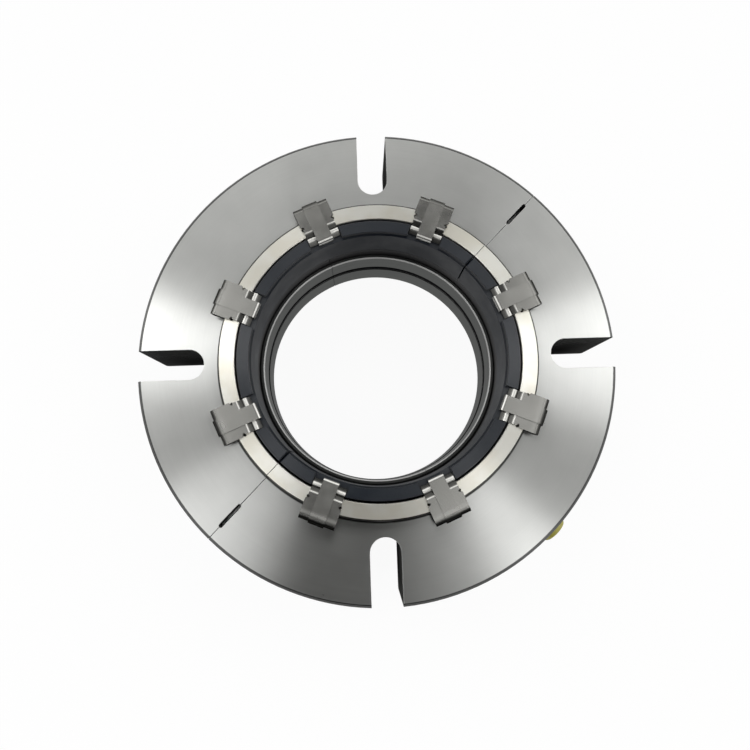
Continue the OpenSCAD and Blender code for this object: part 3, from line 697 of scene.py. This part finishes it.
# %% Outline of a finger spring
SPRINGS = 8
NICK_R = 0.55
rows_r, rows_s = finger_line[:, 0], way_along(finger_line)
outermost = rows_s[rows_r > rows_r.max() - 0.001].max()
upper = rows_s > outermost
marks_r = np.concatenate([[ROOT_R], STEP_R + NICK_R * np.cos(np.linspace(0, np.pi, 9)),
                          [STEP_R + 0.01, STEP_R - 0.01]])
marks_s = np.interp(-marks_r, -rows_r[upper], rows_s[upper])
all_s = np.unique(np.round(np.concatenate([rows_s, marks_s]), 4))
leaf = np.column_stack([np.interp(all_s, rows_s, finger_line[:, k]) for k in (0, 1)])
is_upper = all_s > outermost
from_step = leaf[:, 0] - STEP_R
nick = np.sqrt(np.clip(NICK_R ** 2 - from_step ** 2, 0, None)) * is_upper
half_width = np.where(is_upper & (from_step <= 0), FINGERS, WIDE)
half_width = np.where(nick > 0, FINGERS - nick, half_width)
side = np.linspace(0, 1, 7)
right = SLOT + side * (half_width[:, None] - SLOT)
middle = np.broadcast_to(np.linspace(-SLOT, SLOT, 7)[1:-1], (len(leaf), 5))
across = np.concatenate([-right[:, ::-1], middle, right], axis=1)
keep = np.ones((len(leaf) - 1, across.shape[1] - 1), bool)
in_fingers = is_upper[1:] & (leaf[1:, 0] < ROOT_R - 0.001)
keep[np.ix_(in_fingers, np.arange(len(side) - 1, len(side) + 5))] = False
print("a finger spring has", across.shape[0], "rows and", across.shape[1], "columns")

# %% [markdown]
# Painted light differs from spring to spring. Three lists give each spring's share of painted shade
# on the big bend, how dark it gets there, and how much of the flat beside it gets a painted highlight.
# Painted light along the fingers, tips at 65.7 mm to knee at 72.4 mm, is the same for all: shade at
# the tips, a highlight on the crest, shade in the dip and a highlight at the knee.

# %% Painted shade and highlights of the springs
# Per spring: share of painted shade on the big bend, its darkest value, share of painted highlight beside it.
SHADE_SHARE = [1.0, 1.3, 1.3, 1.0, 1.0, 1.15, 1.35, 1.0]
SHADE_LIMIT = [0.85, 0.78, 0.78, 0.9, 0.95, 0.97, 0.97, 0.95]
HIGHLIGHT_SHARE = [0.1, 0.0, 0.0, 0.2, 0.2, 0.65, 0.5, 0.3]
# Painted shade on the lower legs, which lie in shade under the lip.
SHADE_UNDER_LIP_FINGER, SHADE_UNDER_LIP_CLIP = 0.8, 0.6
# Painted light along the fingers: above 0 painted shade, below 0 a painted highlight.
at_fingers = np.interp(
    leaf[:, 0],
    [65.7, 66.2, 66.7, 67.2, 67.7, 68.1, 68.5, 68.8, 69.3, 71.5, 71.85, 72.0, 72.2, 72.4],
    [0.4, 0.15, 0.0, -0.2, -0.65, -0.8, -0.4, 0.2, 0.85, 0.8, 0.0, -0.5, -0.5, 0.0])


def outer_painted_light(r, i, outermost_r):
    """Painted shade on the bend of spring i, less a painted highlight on the band beside it, by the distance
    r from the axis.
    """
    painted_bend_shade = np.interp(r, [82.7, 83.2, 83.6, 84.0, 84.6, outermost_r], [0.0, 0.4, 0.6, 0.72, 0.86, 0.93])
    painted_highlight = np.interp(r, [80.2, 81.4, 82.2, 82.8], [0.0, 0.3, 0.3, 0.0])
    return np.clip(painted_bend_shade * SHADE_SHARE[i - 1], 0, SHADE_LIMIT[i - 1]) - painted_highlight * HIGHLIGHT_SHARE[i - 1]


def spring_turn(i):
    """Angle of spring i about the shaft: the springs stand between the slots and the split."""
    return math.radians(22.5 + (i - 1) * 45)


# %% Finger springs
for i in range(1, SPRINGS + 1):
    tone_with_painted_light = np.where(is_upper, at_fingers + outer_painted_light(leaf[:, 0], i, 85.3), SHADE_UNDER_LIP_FINGER)
    painted_light = np.repeat(tone_with_painted_light[:, None], across.shape[1], axis=1)
    # The nicks' edges are painted black, as their shadow.
    painted_light[np.ix_(nick > 0, [0, -1])] = 1.0
    points, faces = strip(leaf, across, spring_turn(i), keep)
    piece = mesh_object(f"finger_spring_{i}.sheet", points, faces, spring_steel, painted_light.ravel())
    finish_sheet(piece, f"finger_spring_{i}")
print("finger springs:", SPRINGS, "of", len(faces), "quads each")

# %% [markdown]
# ## Centre clips
#
# A narrow clip of the same sheet lies round each finger spring, hooks under it and ends in a tab
# that is bent down into the ring's notch. It is the same bent strip with straight sides. The bend into
# the tab gets a painted highlight, and below it the tab has a stripe of painted shade.

# %% Centre clips
clip_across = np.broadcast_to(np.linspace(-CLIP, CLIP, 9), (len(clip_line), 9))
# Painted highlight on the tab's bend, and a stripe of painted shade below it.
at_tab = np.interp(clip_line[:, 1] - FLAT - lift, [-1.2, -0.9, -0.65, -0.45, -0.25, -0.03, 0.0],
                   [0.0, 0.6, 0.8, 0.1, -0.8, -0.7, 0.0])
under_lip = clip_line[:, 1] < LIP_TOP - 1.5
for i in range(1, SPRINGS + 1):
    over_lip = outer_painted_light(clip_line[:, 0], i, 85.9)
    tone_with_painted_light = np.where(clip_line[:, 0] < 75, at_tab, np.where(under_lip, SHADE_UNDER_LIP_CLIP, over_lip))
    painted_light = np.repeat(tone_with_painted_light[:, None], clip_across.shape[1], axis=1)
    points, faces = strip(clip_line, clip_across, spring_turn(i))
    piece = mesh_object(f"centre_clip_{i}.sheet", points, faces, clip_steel, painted_light.ravel())
    finish_sheet(piece, f"centre_clip_{i}")
print("centre clips:", SPRINGS, "of", len(faces), "quads each")

# %% [markdown]
# ## Flush ports
#
# Two threaded ports lead through the rim. One is closed for transport by a soft plastic plug: a
# profile turned about the port's axis, which is a surface of two parameters, the way along the
# profile and the angle about the axis. The other is open and shows its thread.

# %% Pieces about a port's axis
def about_port(name, out, radius, turn, material):
    """A surface about the axis of a port that leads outwards at the angle turn. Rows go along the axis
    and columns round it: out is the distance from the shaft's axis and radius the distance from the
    port's own, both arrays in mm that fill rows x columns."""
    rows, columns = radius.shape
    angle = np.linspace(0, 2 * math.pi, columns, endpoint=False)
    sideways, up = radius * np.cos(angle), radius * np.sin(angle)
    points = np.stack([out * math.cos(turn) - sideways * math.sin(turn),
                       out * math.sin(turn) + sideways * math.cos(turn), PORT_Z + up], axis=-1)
    corner = np.arange(rows * columns).reshape(rows, columns)
    beside = np.roll(corner, -1, axis=1)
    faces = np.stack([corner[:-1], beside[:-1], beside[1:], corner[1:]], axis=-1)
    return mesh_object(name, points.reshape(-1, 3) * MM, faces.reshape(-1, 4), material)


PORT_Z, RIM, PORT_BORE, PORT_LONG = 21.5, 120.0, 5.75, 16.0

# %% [markdown]
# The plug is moulded of soft yellow-brown plastic, so a little light goes into it and comes out
# again. Subsurface does that, with more red and yellow than blue.

# %% Plug
plug_plastic, plug_tree, plug_surface = new_material(
    "plug_plastic", (0.40, 0.36, 0.06), Specular_IOR_Level=0.5, Subsurface_Weight=0.15)
plug_surface.inputs["Subsurface Scale"].default_value = 2 * MM
plug_surface.inputs["Subsurface Radius"].default_value = (1.0, 0.8, 0.2)
plug_wear = use(plug_tree, marks, Smudge_mm=4.0)
plug_tree.links.new(tint(plug_tree, plug_wear.outputs["Smudge"], (0.30, 0.27, 0.05), (0.46, 0.42, 0.09)),
                    plug_surface.inputs["Base Color"])
plug_tree.links.new(ramp(plug_tree, plug_wear.outputs["Smudge"], 0.3, 0.7, 0.35, 0.5),
                    plug_surface.inputs["Roughness"])
bump(plug_tree, plug_surface, plug_wear.outputs["Smudge"], 0.05)

CAP_R, CAP_END_R, CAP_LONG = 8.0, 6.9, 7.3
inner = RIM - PORT_LONG + 1.5
plug_line = bent_line([
    (0.02, inner, 0), (PORT_BORE - 0.05, inner, 0.6), (PORT_BORE - 0.05, RIM - 0.6, 0.2),
    (CAP_R, RIM - 0.6, 0.2), (CAP_R, RIM + 1.2, 0.5), (CAP_R - 0.55, RIM + 1.9, 0.5),
    (CAP_END_R, RIM + CAP_LONG, 1.2), (CAP_END_R - 2.2, RIM + CAP_LONG - 0.02, 0.4),
    (CAP_END_R - 2.9, RIM + CAP_LONG - 0.7, 0.4), (0.02, RIM + CAP_LONG - 0.7, 0)])
PLUG_SIDES = 72
plug = about_port("flush_plug.cap", np.repeat(plug_line[:, 1:], PLUG_SIDES, axis=1),
                  np.repeat(plug_line[:, :1], PLUG_SIDES, axis=1), math.radians(-45), plug_plastic)
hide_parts("flush_plug")
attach(plug, "gland")
print("plug profile has", len(plug_line), "points")

# %% [markdown]
# The thread of the open port is a surface of two parameters too, the way along the port and the
# angle about it. The radius gets smaller by a ridge that moves one pitch outwards in each turn, and
# the ridge fades at both ends, as a tapped thread runs out.

# %% Thread of the open port
PITCH, THREAD_DEEP, THREAD_SIDES = 1.337, 0.55, 96
along = np.linspace(RIM - PORT_LONG + 0.3, RIM - 0.35, 200)[:, None]
round_turn = np.linspace(0, 1, THREAD_SIDES, endpoint=False)[None, :]
phase = (along / PITCH - round_turn) % 1.0
ridge = 1 - np.abs(2 * phase - 1)
fade = np.clip((RIM - 0.35 - along) / 1.2, 0, 1) * np.clip((along - RIM + PORT_LONG - 0.3) / 0.8, 0, 1)
thread = about_port("flush_port_thread", np.repeat(along, THREAD_SIDES, axis=1)[::-1],
                    (PORT_BORE - 0.01 - THREAD_DEEP * ridge * fade)[::-1], math.radians(135), gland_steel)
thread.data.polygons.foreach_set("use_smooth", [False] * len(thread.data.polygons))
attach(thread, "gland")
print("thread:", round(PORT_LONG / PITCH, 1), "turns of", PITCH, "mm")

# %% [markdown]
# ## Floor, world and lamps
#
# The floor is a plain white sheet under the seal. Steel shows what stands round it, so the light is
# made of shapes. Four tall soft lamps give the bright fans on the gland: the two at the sides the
# broad ones, the two in front the narrow ones. The world is a room that is brighter at the back. A
# dark card in front gives the dark sector at the bottom of the picture, a bright patch overhead
# lights the near side of the lip, and a dark boom above shades the springs at the top.

# %% Floor
FLOOR_Z, FLOOR_HALF = cad_box[0][2] - 0.0002, 3.0
floor_mesh = bpy.data.meshes.new("floor")
corners = [(FLOOR_HALF * x, FLOOR_HALF * y, FLOOR_Z) for x, y in ((-1, -1), (1, -1), (1, 1), (-1, 1))]
floor_mesh.from_pydata(corners, [], [(0, 1, 2, 3)])
floor = bpy.data.objects.new("floor", floor_mesh)
bpy.context.collection.objects.link(floor)
floor_paper, floor_tree, floor_surface = new_material("floor_paper", (0.9, 0.9, 0.9), Roughness=0.8)
path = add(floor_tree, "ShaderNodeLightPath")
seen = calc(floor_tree, "MAXIMUM", path.outputs["Is Camera Ray"],
            calc(floor_tree, "MAXIMUM", path.outputs["Is Glossy Ray"], path.outputs["Is Transmission Ray"]))
white = add(floor_tree, "ShaderNodeEmission", {"Color": (1, 1, 1, 1), "Strength": 1.0})
mixed = add(floor_tree, "ShaderNodeMixShader",
            {0: calc(floor_tree, "MULTIPLY", seen, 0.93), 1: floor_surface.outputs[0], 2: white.outputs[0]})
floor_out = next(n for n in floor_tree.nodes if n.type == "OUTPUT_MATERIAL")
floor_tree.links.new(mixed.outputs[0], floor_out.inputs["Surface"])
floor_mesh.materials.append(floor_paper)
print("floor at", round(FLOOR_Z / MM, 1), "mm")

# %% [markdown]
# The world's brightness is worked out from the direction of a ray: X and Y say where it points on
# the compass, and Z how high. Each shape of the room is a mask with soft edges, which puts its own
# brightness in place of the room's. The camera sees an even pale background.

# %% World
world = bpy.data.worlds.new("studio")
bpy.context.scene.world = world
world.use_nodes = True
sky = world.node_tree
sky.nodes.clear()
toward = add(sky, "ShaderNodeTexCoord").outputs["Generated"]
ray = add(sky, "ShaderNodeSeparateXYZ", {0: toward}).outputs
level = add(sky, "ShaderNodeCombineXYZ", {"X": ray["X"], "Y": ray["Y"]})
side = add(sky, "ShaderNodeVectorMath", {0: level.outputs[0]}, operation="NORMALIZE").outputs[0]
compass = add(sky, "ShaderNodeSeparateXYZ", {0: side}).outputs
FRONT = (-0.24, -0.97, 0)
front = add(sky, "ShaderNodeVectorMath", {0: side, 1: FRONT}, operation="DOT_PRODUCT").outputs["Value"]

# %% The room: brighter at the back, darker at the left and low down, and its even ceiling
room = calc(sky, "ADD", ramp(sky, compass["Y"], -0.3, 0.5, 0.5, 1.22),
            ramp(sky, compass["Y"], 0.82, 0.97, 0.0, 0.4))
room = calc(sky, "MULTIPLY", room, ramp(sky, compass["X"], -0.6, 0.0, 0.84, 1.0))
room = calc(sky, "MULTIPLY", room, ramp(sky, ray["Z"], 0.1, 0.6, 0.3, 1.0))
ceiling = ramp(sky, ray["X"], -0.2, 0.2, 0.6, 0.47)
room = mix_value(sky, ramp(sky, ray["Z"], 0.78, 0.95), room, ceiling)
print("room done")

# %% The bright patch overhead, the dark card in front and the dark boom above
window = both(sky, ramp(sky, ray["Y"], -0.02, -0.08), ramp(sky, ray["Z"], 0.92, 0.95))
room = mix_value(sky, window, room, ramp(sky, ray["X"], 0.0, 0.11, 0.5, 0.95))
card = calc(sky, "MAXIMUM", ramp(sky, front, 0.78, 0.90), ramp(sky, ray["Z"], 0.82, 0.90))
room = mix_value(sky, both(sky, card, ramp(sky, ray["Y"], -0.20, -0.27)), room, 0.04)
boom_middle = ramp(sky, ray["Y"], -0.1, 0.3, -0.06, 0.06)
off_middle = calc(sky, "ABSOLUTE", calc(sky, "SUBTRACT", ray["X"], boom_middle))
off_middle = calc(sky, "SUBTRACT", off_middle, ramp(sky, ray["Y"], 0.1, 0.35, 0.0, 0.05))
boom = both(sky, ramp(sky, off_middle, 0.11, 0.18, 1.0, 0.0), ramp(sky, ray["Y"], 0.48, 0.58, 1.0, 0.0))
room = mix_value(sky, both(sky, boom, ramp(sky, ray["Z"], 0.3, 0.6)), room, 0.05)

# %% What the camera sees behind the part
BACKGROUND = 0.95
camera_sees = add(sky, "ShaderNodeLightPath").outputs["Is Camera Ray"]
strength = mix_value(sky, camera_sees, room, BACKGROUND)
glow = add(sky, "ShaderNodeBackground", {"Color": (1.0, 1.0, 0.99, 1), "Strength": strength})
add(sky, "ShaderNodeOutputWorld", {"Surface": glow.outputs[0]})
print("world has", len(sky.nodes), "nodes")

# %% Lamps
def tall_lamp(name, azimuth, low, high, width, level, away=1.3):
    """A tall soft lamp that faces the part: it stands in the direction azimuth, reaches from low to
    high degrees above the floor and has the given brightness, where 1 is white."""
    a, e = math.radians(azimuth), math.radians((low + high) / 2)
    data = bpy.data.lights.new(name, "AREA")
    data.shape = "RECTANGLE"
    data.size = width
    data.size_y = 2 * away * math.tan(math.radians((high - low) / 2))
    data.energy = level * math.pi * data.size * data.size_y
    made = bpy.data.objects.new(name, data)
    made.location = Vector((math.cos(a) * math.cos(e), math.sin(a) * math.cos(e), math.sin(e))) * away
    made.rotation_euler = (-made.location).to_track_quat("-Z", "Y").to_euler()
    bpy.context.collection.objects.link(made)
    return made


tall_lamp("lamp_right", 13, 15, 62, 0.45, 2.15)
tall_lamp("lamp_left", 159, 15, 64, 0.30, 3.0)
tall_lamp("lamp_left_front", 216, 25, 66, 0.48, 2.2)
tall_lamp("lamp_right_front", 317, 15, 68, 0.24, 2.3)
print("lamps:", [light.name for light in bpy.data.lights])

# %% [markdown]
# ## Colours as written
#
# Under the Standard view transform a colour renders about as it is written.

# %% Colour handling
bpy.context.scene.view_settings.view_transform = "Standard"
